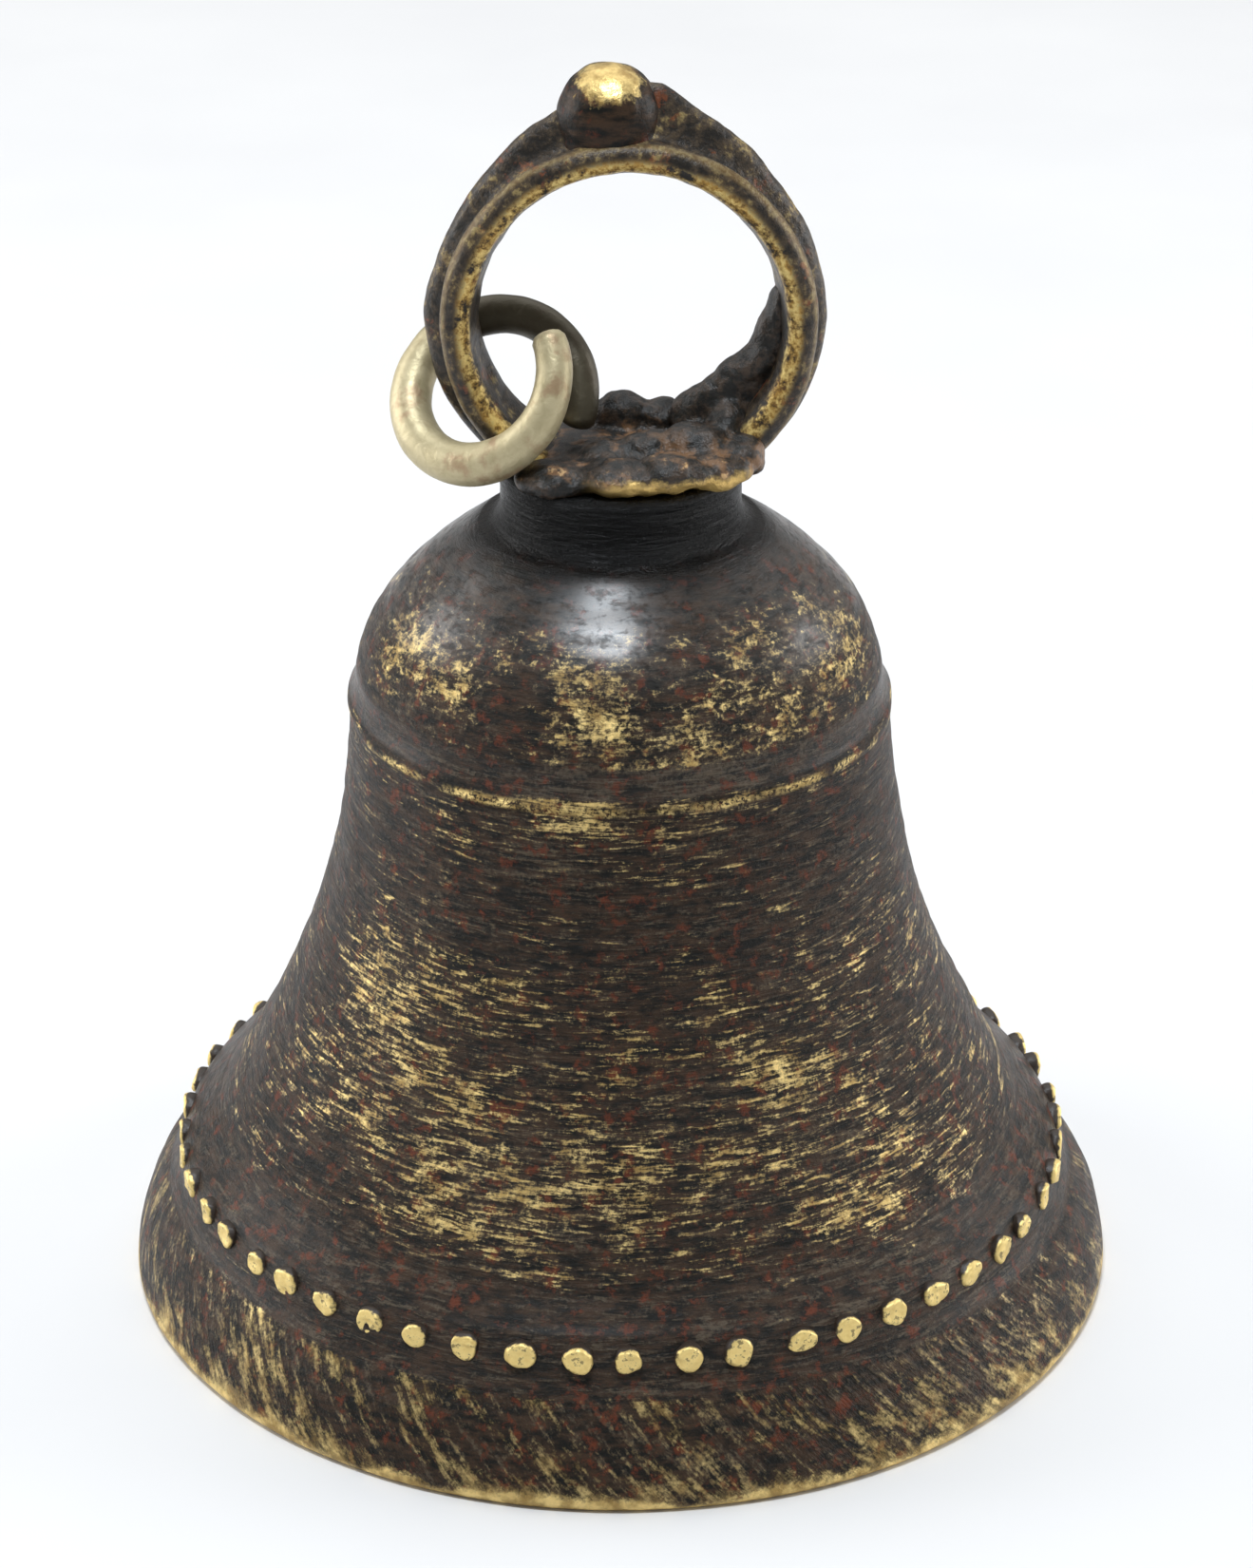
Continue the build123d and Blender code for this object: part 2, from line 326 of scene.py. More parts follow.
def shell_finish():
    bell = Finish("patinated_bronze")
    hatch = bell.grain(bell.stretch((0.50, 0.50, 4.0)), 1.0, 5.0, 0.66, 0.5)
    blotch = bell.grain(bell.stretch((1.0, 1.0, 1.9)), 1.0, 5.0, 0.68, 0.5)
    dome = bell.step(bell.z, 37.5, 39.5) * 0.75
    patch = bell.grain(bell.stretch((1, 1, 1.3), (3, 11, 5)), 0.24, 3.0, 0.6)
    speck = bell.grain(bell.mm, 4.0, 3.0, 0.7)
    turn = bell.x.angle(0 - bell.y) * LIP_R
    scratch = bell.grain(bell.join(turn * 1.5 + bell.z * 1.2, bell.z * 0.55, 0.0), 1.0, 5.0, 0.68)
    on_lip = 1 - bell.step(bell.z, 5.4, 6.6)
    marks = hatch * (1 - on_lip - dome) + scratch * on_lip + blotch * dome
    touch = bell.near(RUBBED[0][:3], RUBBED[0][3]) * RUBBED[0][4]
    for *place, size, strength in RUBBED[1:]:
        touch = touch + bell.near(place, size) * strength
    marked = (marks - 0.5) * 2.7 + (speck - 0.5) * 1.3
    amount = marked + (patch - 0.5) * 1.3 + touch
    sweep = bell.grain(bell.join(turn * 0.40 + bell.z * 0.5, bell.z * 0.25, 4.0), 1.0, 3.0, 0.6)
    calm = bell.step(bell.z, 24.5, 28.5) * (1 - bell.step(bell.z, 34.4, 35.4))
    foot = 1 - bell.step(bell.z, 0.6, 3.0)
    amount = amount + on_lip * foot * 0.28 + on_lip * (sweep - 0.5) * 2.2 - calm * 0.17
    cove = bell.step(bell.z, 37.3, 37.6) * (1 - bell.step(bell.z, 38.6, 39.4))
    top = bell.step(bell.z, 45.0, 47.4)
    ridge = bell.step(bell.z, 5.8, 6.4) * (1 - bell.step(bell.z, 9.4, 12.5))
    worn = amount - cove * 0.5 - top * 0.6 - ridge * 0.45
    bare = bell.step(worn, 0.20, 0.75) * (1 - on_lip) + bell.step(worn, 0.06, 1.15) * on_lip * 0.85
    wobble = bell.grain(bell.stretch((0.25, 0.25, 0.25)), 1.0, 2.0) - 0.5
    edge = 1 - bell.step(bell.z + wobble * 2.4 + (speck - 0.5) * 1.2, 0.45, 1.10)
    on_line = 1 - bell.step(abs(bell.z - 36.8 + wobble * 0.4), 0.10, 0.40)
    segment = bell.step(bell.grain(bell.stretch((0.3, 0.3, 0.3), (8, 2, 4)), 1.0, 4.0, 0.6), 0.44, 0.58)
    outside = bell.step((bell.x * bell.x + bell.y * bell.y).root(), 28.3, 28.8)
    bare = bare.at_least(edge * outside).at_least(on_line * segment * bell.step(speck, 0.40, 0.55))
    scuff = bell.step(marked + touch * 0.8, 0.0, 0.55) * (1 - top) * 0.75
    # Painted shade: from the top of the dome up over the neck the bell is painted near black, for the dark
    # reflection the neck shows.
    painted_shade = bell.step(bell.z, 45.8, 48.4)
    old_brass(bell, bare, smooth=top + cove + ridge * 0.7, dirt=0.9, painted_shade=painted_shade, scuff=scuff)
    streaky = bell.step(marks, 0.40, 0.52) * 0.6 + 0.4
    shiny = bell.step(bell.z, 42.0, 44.5) * (1 - bell.step(bell.z, 46.8, 48.0)) * streaky
    bell.wear(Coat_Weight=shiny.at_least(ridge * 0.12).at_least(cove * 0.2), Coat_Roughness=0.30)
    relief = hatch * (1 - on_lip) + scratch * on_lip
    bell.bump(relief + speck * 0.3 - bare * 0.2, 0.32)
    return bell.material


shell_metal = shell_finish()
print("shell finish has", len(shell_metal.node_tree.nodes), "nodes")

# %% [markdown]
# The pellets are rubbed bright on top and stay black round their feet. The distance from the bell's
# axis tells the two apart.

# %% The pellets' finish


def pellet_finish():
    bead = Finish("worn_pellets")
    radius = (bead.x * bead.x + bead.y * bead.y).root()
    speck = bead.grain(bead.mm, 2.6, 4.0, 0.65)
    bare = bead.step(radius - (speck - 0.5) * 0.4, 26.84, 26.98)
    pit = bead.step(speck, 0.55, 0.64)
    dark = bead.blend(speck, SOOT, UMBER)
    face = bead.blend(speck, (0.66, 0.44, 0.12, 1), (1.0, 0.82, 0.36, 1))
    tint = bead.blend(bare * (1 - pit * 0.7), dark, face)
    bead.wear(Base_Color=tint, Metallic=bare * 0.5, Roughness=0.45)
    bead.bump(speck, 0.06)
    return bead.material


pellet_metal = pellet_finish()

# %% [markdown]
# The loop is dull grey-brown, with an ochre line along the inner edge of its front face, where a cord
# or a finger has rubbed. That edge is a ring about the loop's axis, so the mask is a distance again.

# %% Finishes of the loop, the knob, the braze, the link and the clapper
LOOP_X = 0.5
LOOP_Z = 60.15
KNOB = (-0.6, 0.7, 71.6)


def loop_finish():
    band = Finish("loop_bronze")
    across = band.x - LOOP_X
    up = band.z - LOOP_Z
    reach = (across * across + up * up).root()
    speck = band.grain(band.mm, 2.0, 4.0, 0.7)
    broad = band.grain(band.mm, 0.45, 3.0)
    front = 1 - band.step(band.y, -2.0, -1.5)
    inner_edge = 1 - band.step(abs(reach - 9.25 + (speck - 0.5) * 0.9), 0.15, 0.65)
    rubbed = inner_edge * front * band.step(speck * 0.7 + broad * 0.5, 0.46, 0.64)
    # Painted highlight: a faint light line of bare metal along the outer edge of the front ridge.
    outer_edge_highlight = (1 - band.step(abs(reach - 10.55), 0.05, 0.35)) * front * 0.22
    scuffed = band.step(speck * 0.6 + broad * 0.7, 0.68, 0.84) * 0.30
    bare = rubbed.at_least(outer_edge_highlight).at_least(scuffed)
    tone = band.step(speck * 0.6 + broad * 0.4, 0.40, 0.60)
    dark = band.blend(tone, (0.012, 0.010, 0.008, 1), (0.066, 0.046, 0.028, 1))
    fleck = band.step(band.grain(band.stretch((1, 1, 1), (31, 7, 3)), 0.55, 5.0, 0.7), 0.58, 0.68)
    dark = band.blend(fleck * 0.8, dark, (0.17, 0.050, 0.018, 1))
    metal = band.blend(band.step(speck, 0.40, 0.66), OCHRE, (0.80, 0.62, 0.24, 1))
    band.wear(Base_Color=band.blend(bare, dark, metal), Metallic=bare * 0.6 + 0.04,
              Specular_IOR_Level=0.35, Roughness=0.32 + broad * 0.16)
    band.bump(speck * 0.6 + broad * 0.5, 0.20)
    return band.material


def knob_finish():
    knob = Finish("knob_bronze")
    speck = knob.grain(knob.mm, 1.6, 4.0, 0.65)
    top = knob.near((KNOB[0], KNOB[1] - 1.2, KNOB[2] + 2.7), 4.0)
    bare = knob.step(top + (speck - 0.5) * 0.55, 0.46, 0.62)
    old_brass(knob, bare, smooth=0.2, dirt=0.5)
    knob.bump(speck, 0.10)
    return knob.material


def braze_finish():
    braze = Finish("braze_brass")
    speck = braze.grain(braze.mm, 1.3, 5.0, 0.7)
    burnt = braze.grain(braze.stretch((1, 1, 1), (4, 9, 2)), 0.50, 4.0, 0.6)
    front = 1 - braze.step(braze.y, -5.2, -3.8)
    underside = 1 - braze.step(braze.z + (speck - 0.5) * 1.8, 52.1, 52.8)
    torn = underside * braze.step(braze.x, -2.5, 1.5) * front
    low = 1 - braze.step(braze.z, 53.2, 54.6)
    dark = braze.blend(braze.step(speck, 0.42, 0.62), SOOT, (0.050, 0.033, 0.022, 1))
    dark = braze.blend(braze.step(burnt, 0.52, 0.62) * low * 0.8, dark, (0.21, 0.11, 0.050, 1))
    smear = braze.step(speck * 0.6 + burnt * 0.4, 0.57, 0.64) * low * front
    dark = braze.blend(smear, dark, (0.52, 0.33, 0.15, 1))
    braze.wear(Base_Color=braze.blend(torn, dark, (0.85, 0.58, 0.20, 1)), Metallic=torn * 0.7,
               Specular_IOR_Level=0.4, Roughness=0.40)
    braze.bump(speck + burnt, 0.20)
    return braze.material


def link_finish():
    wire = Finish("link_brass")
    scratch = wire.grain(wire.stretch((1, 1, 1), (2, 2, 2)), 1.5, 5.0, 0.6, 0.8)
    stain = wire.grain(wire.mm, 0.5, 4.0, 0.6)
    # The wire is drawn darker towards the back and the right: the share below is 1 at the front left and 0
    # behind.
    low = 1 - wire.step(wire.y + wire.x * 0.6, -3.9, -2.6)
    pale = wire.blend(scratch, (0.36, 0.30, 0.16, 1), (0.64, 0.56, 0.36, 1))
    brown = wire.blend(wire.step(stain, 0.52, 0.66) * 0.55, pale, (0.30, 0.16, 0.09, 1))
    tint = wire.blend((low * 0.95 + 0.05).clamp(), (0.050, 0.042, 0.026, 1), brown)
    wire.wear(Base_Color=tint, Metallic=0.45, Roughness=0.34 + scratch * 0.2)
    wire.bump(scratch + stain * 0.5, 0.06)
    return wire.material


def iron_finish():
    iron = Finish("clapper_iron")
    scale = iron.grain(iron.mm, 0.9, 5.0, 0.65)
    rust = iron.step(iron.grain(iron.stretch((1, 1, 1), (9, 1, 6)), 0.5, 5.0, 0.7), 0.48, 0.62)
    black = iron.blend(scale, (0.018, 0.016, 0.015, 1), (0.070, 0.060, 0.052, 1))
    iron.wear(Base_Color=iron.blend(rust * 0.7, black, (0.15, 0.055, 0.022, 1)),
              Metallic=0.7 - rust * 0.5, Roughness=0.45 + rust * 0.35)
    iron.bump(scale + rust * 0.5, 0.20)
    return iron.material


loop_metal = loop_finish()
knob_metal = knob_finish()
braze_metal = braze_finish()
link_metal = link_finish()
clapper_metal = iron_finish()

# %% [markdown]
# ## Meshes by rows
#
# Most pieces here are a row of points swept along something: an outline turned about the axis, a
# section carried round a ring, a circle carried along a wire. One helper turns such a grid of points
# into a closed mesh, with a pole where a row shrinks to one point.

# %% Mesh helpers


def rough(points, size, depth, seed=0.0):
    """A noise of a size and a depth in millimetres at each point."""
    flat = points.reshape(-1, 3) / size + seed
    values = [noise.noise(Vector(p)) for p in flat]
    return (np.array(values) * depth).reshape(points.shape[:-1])


def make_piece(name, points, faces, material, body, nodes):
    """A mesh object from millimetre points, riding on a body in place of CAD nodes."""
    mesh = bpy.data.meshes.new(name)
    mesh.from_pydata((np.asarray(points).reshape(-1, 3) * MM).tolist(), [], faces)
    mesh.validate()
    mesh.materials.append(material)
    mesh.shade_smooth()
    piece = bpy.data.objects.new(name, mesh)
    bpy.context.scene.collection.objects.link(piece)
    settle(piece, body, nodes)
    return piece


def settle(piece, body, nodes):
    """The frame calls of a finished piece."""
    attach(piece, body)
    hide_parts(*nodes)
    print(piece.name, "on", body, "faces", len(piece.data.polygons))


def grid_faces(rows, columns, loop_rows=False, first=0):
    """Quads between rows of points, where each row closes on itself."""
    faces = []
    for i in range(rows if loop_rows else rows - 1):
        low = first + i * columns
        high = first + (i + 1) % rows * columns
        for j in range(columns):
            k = (j + 1) % columns
            faces.append((low + j, low + k, high + k, high + j))
    return faces


def capped(rows):
    """Points and faces of a grid of closed rows with a fan at each end."""
    count, columns = rows.shape[:2]
    points = rows.reshape(-1, 3)
    faces = grid_faces(count, columns)
    tips = np.array([rows[0].mean(axis=0), rows[-1].mean(axis=0)])
    start = count * columns
    last = (count - 1) * columns
    for j in range(columns):
        k = (j + 1) % columns
        faces.append((start, k, j))
        faces.append((start + 1, last + j, last + k))
    return np.vstack([points, tips]), faces


# %% [markdown]
# ## The shell
#
# The shell is a turned shape, so it could be a curve with a Screw modifier. Rows of points made in
# numpy are as short, and they let the surface be pushed about a little afterwards: a low sway that
# makes the bell slightly out of round, shallow dents, and the fine level ridges of turned wax.

# %% The shell's outline
WALL = 2.4
WAIST_R, WAIST_Z = 24.3, 10.8
SHOULDER_R, SHOULDER_Z = 15.8, 36.6
COVE_R, COVE_Z = 15.35, 38.8
NECK_R, NECK_Z = 6.9, 51.5
CROWN_INSIDE_Z = 45.5
FLARE_POWER = 1.87


def arc3(a, b, c, count):
    """Points on the arc through three points."""
    (ax, ay), (bx, by), (cx, cy) = a, b, c
    d = 2 * (ax * (by - cy) + bx * (cy - ay) + cx * (ay - by))
    ux = ((ax**2 + ay**2) * (by - cy) + (bx**2 + by**2) * (cy - ay) + (cx**2 + cy**2) * (ay - by)) / d
    uy = ((ax**2 + ay**2) * (cx - bx) + (bx**2 + by**2) * (ax - cx) + (cx**2 + cy**2) * (bx - ax)) / d
    r = math.hypot(ax - ux, ay - uy)
    start = math.atan2(ay - uy, ax - ux)
    sweep = (math.atan2(cy - uy, cx - ux) - start + math.pi) % (2 * math.pi) - math.pi
    turns = start + sweep * np.linspace(0, 1, count, endpoint=False)
    return np.stack([ux + r * np.cos(turns), uy + r * np.sin(turns)], axis=1)


def smooth_run(points, count, closed=False):
    """Points on a smooth curve through given points (a Catmull-Rom curve)."""
    p = np.array(points if closed else [points[0], *points, points[-1]], float)
    out = []
    for i in range(len(p)) if closed else range(1, len(p) - 2):
        a, b, c, d = (p[(i + k) % len(p)] for k in (-1, 0, 1, 2))
        for t in np.linspace(0, 1, count, endpoint=False):
            bend = (2 * a - 5 * b + 4 * c - d) * t**2 + (3 * b - a - 3 * c + d) * t**3
            out.append(0.5 * (2 * b + (c - a) * t + bend))
    return np.array(out)


def bezier(a, b, c, d, count):
    t = np.linspace(0, 1, count, endpoint=False)[:, None]
    a, b, c, d = (np.array(q, float) for q in (a, b, c, d))
    return a * (1 - t) ** 3 + 3 * b * t * (1 - t) ** 2 + 3 * c * t**2 * (1 - t) + d * t**3


def flare(foot_r, top_r, low, high, count):
    t = np.linspace(0, 1, count, endpoint=False)
    return np.stack([top_r + (foot_r - top_r) * (1 - t) ** FLARE_POWER, low + (high - low) * t], axis=1)


ridge_points = [
    (27.85, 5.8), (27.25, 6.7), (26.95, 7.4), (26.75, 8.15), (26.3, 9.0), (25.6, 9.6), (WAIST_R, WAIST_Z),
]
outline_outside = np.vstack([
    arc3((29.2, 0.0), (29.78, 0.16), (29.96, 0.6), 5),
    arc3((29.96, 0.6), (29.3, 3.3), (27.85, 5.8), 22),
    smooth_run(ridge_points, 4),
    flare(WAIST_R, SHOULDER_R, WAIST_Z, SHOULDER_Z, 96),
    arc3((SHOULDER_R, SHOULDER_Z), (15.90, 37.0), (15.75, 37.4), 5),
    arc3((15.75, 37.4), (15.45, 38.05), (COVE_R, COVE_Z), 6),
    bezier((COVE_R, COVE_Z), (15.0, 42.9), (11.6, 45.6), (8.2, 47.9), 38),
    arc3((8.2, 47.9), (7.2, 48.4), (NECK_R, 49.4), 8),
    np.stack([np.full(8, NECK_R), np.linspace(49.4, NECK_Z - 0.2, 8)], axis=1),
    np.array([(6.6, NECK_Z), (3.0, NECK_Z)]),
])
inner_waist = WAIST_R - WALL * 1.12
inner_top = SHOULDER_R - WALL
lip_slope = np.stack([np.linspace(27.1, inner_waist, 10, endpoint=False),
                      np.linspace(0.8, WAIST_Z, 10, endpoint=False)], axis=1)
outline_inside = np.vstack([
    arc3((28.3, 0.0), (27.6, 0.12), (27.25, 0.5), 4),
    lip_slope,
    flare(inner_waist, inner_top, WAIST_Z, SHOULDER_Z, 24),
    bezier((inner_top, SHOULDER_Z), (inner_top, 42.2),
           (inner_top * 0.72, CROWN_INSIDE_Z), (0.6, CROWN_INSIDE_Z), 16),
])
outline = np.vstack([outline_outside[::-1], outline_inside])
print("outline points", len(outline))

# %% The shell's mesh
AROUND = 300
angles = np.linspace(0, 2 * np.pi, AROUND, endpoint=False)
rows = np.stack([
    outline[:, :1] * np.cos(angles),
    outline[:, :1] * np.sin(angles),
    np.repeat(outline[:, 1:], AROUND, axis=1),
], axis=2)
push = rough(rows, 14.0, 0.30, 3.1) + rough(rows, 4.0, 0.10, 8.7)
push = push + rough(rows * np.array([0.45, 0.45, 3.0]), 2.2, 0.07, 1.3)
line_share = np.exp(-((outline[:, 1] - 37.2) / 2.0) ** 2)[:, None]
calm = np.clip(outline[:, 1] / 3.0, 0.25, 1.0)[:, None]
radial = rows.copy()
radial[..., 2] = 0
length = np.linalg.norm(radial, axis=2, keepdims=True)
rows = rows + radial / np.maximum(length, 0.5) * (push * calm)[..., None]
rows[..., 2] += line_share * rough(rows * np.array([1, 1, 0.0]), 9.0, 0.55, 5.5)
points, faces = capped(rows)
shell_piece = make_piece("shell", points, faces, shell_metal, "bell", ["bell_shell"])

# %% [markdown]
# ## The pellets
#
# Fifty-three small balls of wax were rolled by hand and pressed round the ridge. That is a job for
# Geometry Nodes: a circle of points, one flattened ball on each, and seeded random values that move,
# turn and size each one a little. The tree ends in real geometry, because an export drops instances.

# %% The pellet tree


def pellet_tree(material):
    tree = bpy.data.node_groups.new("pellets_round_a_ridge", "GeometryNodeTree")
    face = tree.interface
    for label, kind, value in (
        ("Count", "NodeSocketInt", 53), ("Ring radius", "NodeSocketFloat", 0.0267),
        ("Height", "NodeSocketFloat", 0.00815), ("Pellet radius", "NodeSocketFloat", 0.0009),
        ("Flat", "NodeSocketFloat", 0.00042), ("Stray", "NodeSocketFloat", 0.016),
        ("Seed", "NodeSocketInt", 4),
    ):
        face.new_socket(label, in_out="INPUT", socket_type=kind).default_value = value
    face.new_socket("Mesh", in_out="OUTPUT", socket_type="NodeSocketGeometry")

    def add(kind, settings=None, links=None):
        made = tree.nodes.new(kind)
        for key, value in (settings or {}).items():
            setattr(made, key, value)
        for key, value in (links or {}).items():
            if isinstance(value, bpy.types.NodeSocket):
                tree.links.new(value, made.inputs[key])
            else:
                made.inputs[key].default_value = value
        return made

    entry = add("NodeGroupInput")
    given = {out.name: out for out in entry.outputs if out.name}
    spot = add("GeometryNodeInputPosition")

    ring = add("GeometryNodeMeshCircle", links={"Vertices": given["Count"], "Radius": given["Ring radius"]})
    back = add("ShaderNodeMath", {"operation": "MULTIPLY"}, {0: given["Stray"], 1: -1.0})
    stray = add("FunctionNodeRandomValue", {"data_type": "FLOAT"}, {
        2: back.outputs[0], 3: given["Stray"], "Seed": given["Seed"]})
    turned = add("ShaderNodeVectorRotate", {"rotation_type": "Z_AXIS"}, {
        "Vector": spot.outputs[0], "Angle": stray.outputs[1]})
    lift = add("ShaderNodeCombineXYZ", links={"Z": given["Height"]})
    placed = add("GeometryNodeSetPosition", links={
        "Geometry": ring.outputs[0], "Position": turned.outputs[0], "Offset": lift.outputs[0]})
    level = add("ShaderNodeVectorMath", {"operation": "MULTIPLY"}, {0: spot.outputs[0], 1: (1, 1, 0)})
    aim = add("FunctionNodeAlignRotationToVector", {"axis": "X"}, {"Vector": level.outputs[0]})

    ball = add("GeometryNodeMeshIcoSphere", links={"Radius": given["Pellet radius"], "Subdivisions": 4})
    parts = add("ShaderNodeSeparateXYZ", links={0: spot.outputs[0]})
    cut = add("ShaderNodeMath", {"operation": "SMOOTH_MIN"}, {
        0: parts.outputs[0], 1: given["Flat"], 2: 0.00025})
    pressed = add("ShaderNodeCombineXYZ", links={
        "X": cut.outputs[0], "Y": parts.outputs[1], "Z": parts.outputs[2]})
    pellet = add("GeometryNodeSetPosition", links={
        "Geometry": ball.outputs[0], "Position": pressed.outputs[0]})

    size = add("FunctionNodeRandomValue", {"data_type": "FLOAT_VECTOR"}, {
        0: (0.80, 0.86, 0.80), 1: (1.05, 1.10, 0.98), "Seed": given["Seed"]})
    beads = add("GeometryNodeInstanceOnPoints", links={
        "Points": placed.outputs[0], "Instance": pellet.outputs[0],
        "Rotation": aim.outputs[0], "Scale": size.outputs[0]})
    real = add("GeometryNodeRealizeInstances", links={0: beads.outputs[0]})
    dent = add("ShaderNodeTexNoise", links={"Scale": 700.0, "Detail": 2.0})
    middle = add("ShaderNodeVectorMath", {"operation": "SUBTRACT"}, {
        0: dent.outputs[1], 1: (0.5, 0.5, 0.5)})
    small = add("ShaderNodeVectorMath", {"operation": "SCALE"}, {
        0: middle.outputs[0], "Scale": 0.0006})
    dented = add("GeometryNodeSetPosition", links={"Geometry": real.outputs[0], "Offset": small.outputs[0]})
    smooth = add("GeometryNodeSetShadeSmooth", links={0: dented.outputs[0]})
    dressed = add("GeometryNodeSetMaterial", {}, {0: smooth.outputs[0], "Material": material})
    leave = add("NodeGroupOutput")
    tree.links.new(dressed.outputs[0], leave.inputs[0])
    return tree


def grown(name, tree, values):
    """Runs a Geometry Nodes tree once and returns its result as a plain mesh object."""
    piece = bpy.data.objects.new(name, bpy.data.meshes.new(name + "_seed"))
    bpy.context.scene.collection.objects.link(piece)
    modifier = piece.modifiers.new("grow", "NODES")
    modifier.node_group = tree
    for item in tree.interface.items_tree:
        if item.in_out == "INPUT" and item.name in values:
            modifier[item.identifier] = values[item.name]
    seen = piece.evaluated_get(bpy.context.evaluated_depsgraph_get())
    mesh = bpy.data.meshes.new_from_object(seen)
    piece.modifiers.clear()
    piece.data = mesh
    mesh.name = name
    return piece


pellets_piece = grown("pellets", pellet_tree(pellet_metal), {"Count": 53, "Seed": 4, "Stray": 0.016})
settle(pellets_piece, "bell", ["pellet_row"])

# %% [markdown]
# ## The loop
#
# The loop is a band like a finger ring. Its section has a low rounded ridge at the front and a higher
# one behind, with a groove between. The section is carried round the loop's axis row by row, and
# its back ridge swells where it runs up to the knob.

# %% The loop's mesh


def band_section(swell):
    """Listed points of the band's section: distance from the loop's axis, and Y."""
    return [
        (8.85, -1.75), (9.15, -2.25), (9.75, -2.48), (10.35, -2.20), (10.60, -1.60),
        (10.10 + swell * 0.3, -0.95), (10.20 + swell * 0.65, -0.45), (10.95 + swell, 0.15),
        (11.15 + swell, 0.85), (10.85 + swell * 0.6, 1.60),
        (10.20, 2.10), (9.20, 2.18), (8.50, 1.90), (8.40, 0.80), (8.65, -0.80),
    ]


RIDGE_TURNS = (-64, 0, 15, 44, 58, 71, 82, 95, 105, 112, 125, 138, 165, 180, 244)
RIDGE_SWELLS = (0.2, 0.0, -0.15, 0.05, 0.45, 1.10, 2.25, 2.3, 1.6, 1.0, 0.45, 0.15, 0.1, 0.4, 0.3)


def loop_rows():
    rows = []
    for degrees in np.linspace(-64, 244, 380):
        swell = np.interp(degrees, RIDGE_TURNS, RIDGE_SWELLS)
        turn = math.radians(degrees)
        section = smooth_run(band_section(swell), 5, closed=True)
        reach, depth = section[:, 0], section[:, 1]
        across = LOOP_X + reach * math.cos(turn)
        up = LOOP_Z + reach * math.sin(turn)
        rows.append(np.stack([across, depth, up], axis=1))
    rows = np.array(rows)
    middle = rows.mean(axis=1, keepdims=True)
    out = rows - middle
    out /= np.linalg.norm(out, axis=2, keepdims=True)
    push = rough(rows, 5.0, 0.22, 2.2) + rough(rows, 1.6, 0.09, 6.1) + rough(rows, 0.6, 0.03, 9.4)
    return rows + out * push[..., None]


points, faces = capped(loop_rows())
loop_piece = make_piece("loop", points, faces, loop_metal, "bell", ["crown_loop"])

# %% [markdown]
# ## Lumps of metal
#
# The knob and the braze were shaped with a wax tool and a hot iron, so nothing in them is turned.
# Rough balls are laid where the metal gathered, and a voxel Remesh melts them into one skin. Some
# smoothing rounds the joins, and noise gives the skin its pits.

# %% Melting balls into one lump


def lump(name, balls, voxel, smoothing, pits, material, node):
    """One skin over listed balls: x, y, z, then three half sizes, in millimetres."""
    ball = bpy.data.meshes.new(name + "_ball")
    soup = bmesh.new()
    for x, y, z, a, b, c in balls:
        made = bmesh.ops.create_icosphere(soup, subdivisions=3, radius=1.0)
        for vert in made["verts"]:
            vert.co = ((x + vert.co.x * a) * MM, (y + vert.co.y * b) * MM, (z + vert.co.z * c) * MM)
    soup.to_mesh(ball)
    soup.free()
    piece = bpy.data.objects.new(name, ball)
    bpy.context.scene.collection.objects.link(piece)
    melt = piece.modifiers.new("melt", "REMESH")
    melt.mode = "VOXEL"
    melt.voxel_size = voxel * MM
    ease = piece.modifiers.new("ease", "SMOOTH")
    ease.factor = 0.5
    ease.iterations = smoothing
    seen = piece.evaluated_get(bpy.context.evaluated_depsgraph_get())
    mesh = bpy.data.meshes.new_from_object(seen)
    piece.modifiers.clear()
    piece.data = mesh
    spots = np.array([tuple(v.co) for v in mesh.vertices]) / MM
    normals = np.array([tuple(v.normal) for v in mesh.vertices])
    push = sum(rough(spots, size, depth, 4.4) for size, depth in pits)
    spots = spots + normals * push[:, None]
    mesh.vertices.foreach_set("co", (spots * MM).ravel())
    mesh.update()
    mesh.materials.clear()
    mesh.materials.append(material)
    mesh.shade_smooth()
    settle(piece, "bell", [node])
    return piece


def bead(spine, count):
    """Extra balls between each two of a row, so that they melt into one smooth ridge."""
    balls = []
    for first, last in zip(spine, spine[1:]):
        balls += [tuple(row) for row in np.linspace(first, last, count)]
    return balls


# %% The knob
kx, ky, kz = KNOB
knob_balls = [
    (kx, ky, kz, 2.95, 2.9, 2.95),
    (kx + 0.2, ky - 0.5, kz - 1.4, 2.9, 2.2, 1.2),
]
knob_piece = lump("knob", knob_balls, 0.16, 16, [(2.5, 0.12), (0.8, 0.05)],
                  knob_metal, "loop_knob")

# %% The braze
braze_balls = [
    (0.4, -0.2, 51.9, 6.4, 5.4, 1.15),
    (-3.2, -3.9, 52.0, 2.8, 2.3, 0.95),
    (0.2, -4.8, 52.3, 2.8, 2.0, 1.00),
    (3.0, -4.6, 52.6, 2.4, 1.9, 1.00),
    (5.4, -3.6, 52.4, 2.3, 1.8, 1.15),
    (6.9, -2.5, 52.8, 1.4, 1.6, 1.30),
    (4.4, -1.9, 53.3, 2.1, 1.8, 1.10),
    (6.2, 0.0, 53.7, 1.5, 2.1, 1.70),
    (1.4, -2.2, 53.1, 2.0, 1.5, 0.95),
    (0.2, 2.1, 53.5, 1.8, 1.2, 1.40),
    (2.2, 2.1, 53.3, 1.6, 1.2, 1.20),
    (-1.6, 2.8, 52.4, 2.0, 1.4, 0.80),
    (3.6, 3.4, 52.2, 2.4, 1.4, 0.90),
    (-4.8, 0.6, 52.2, 1.3, 2.2, 0.80),
    (-0.4, -2.4, 52.8, 1.8, 1.4, 0.80),
]
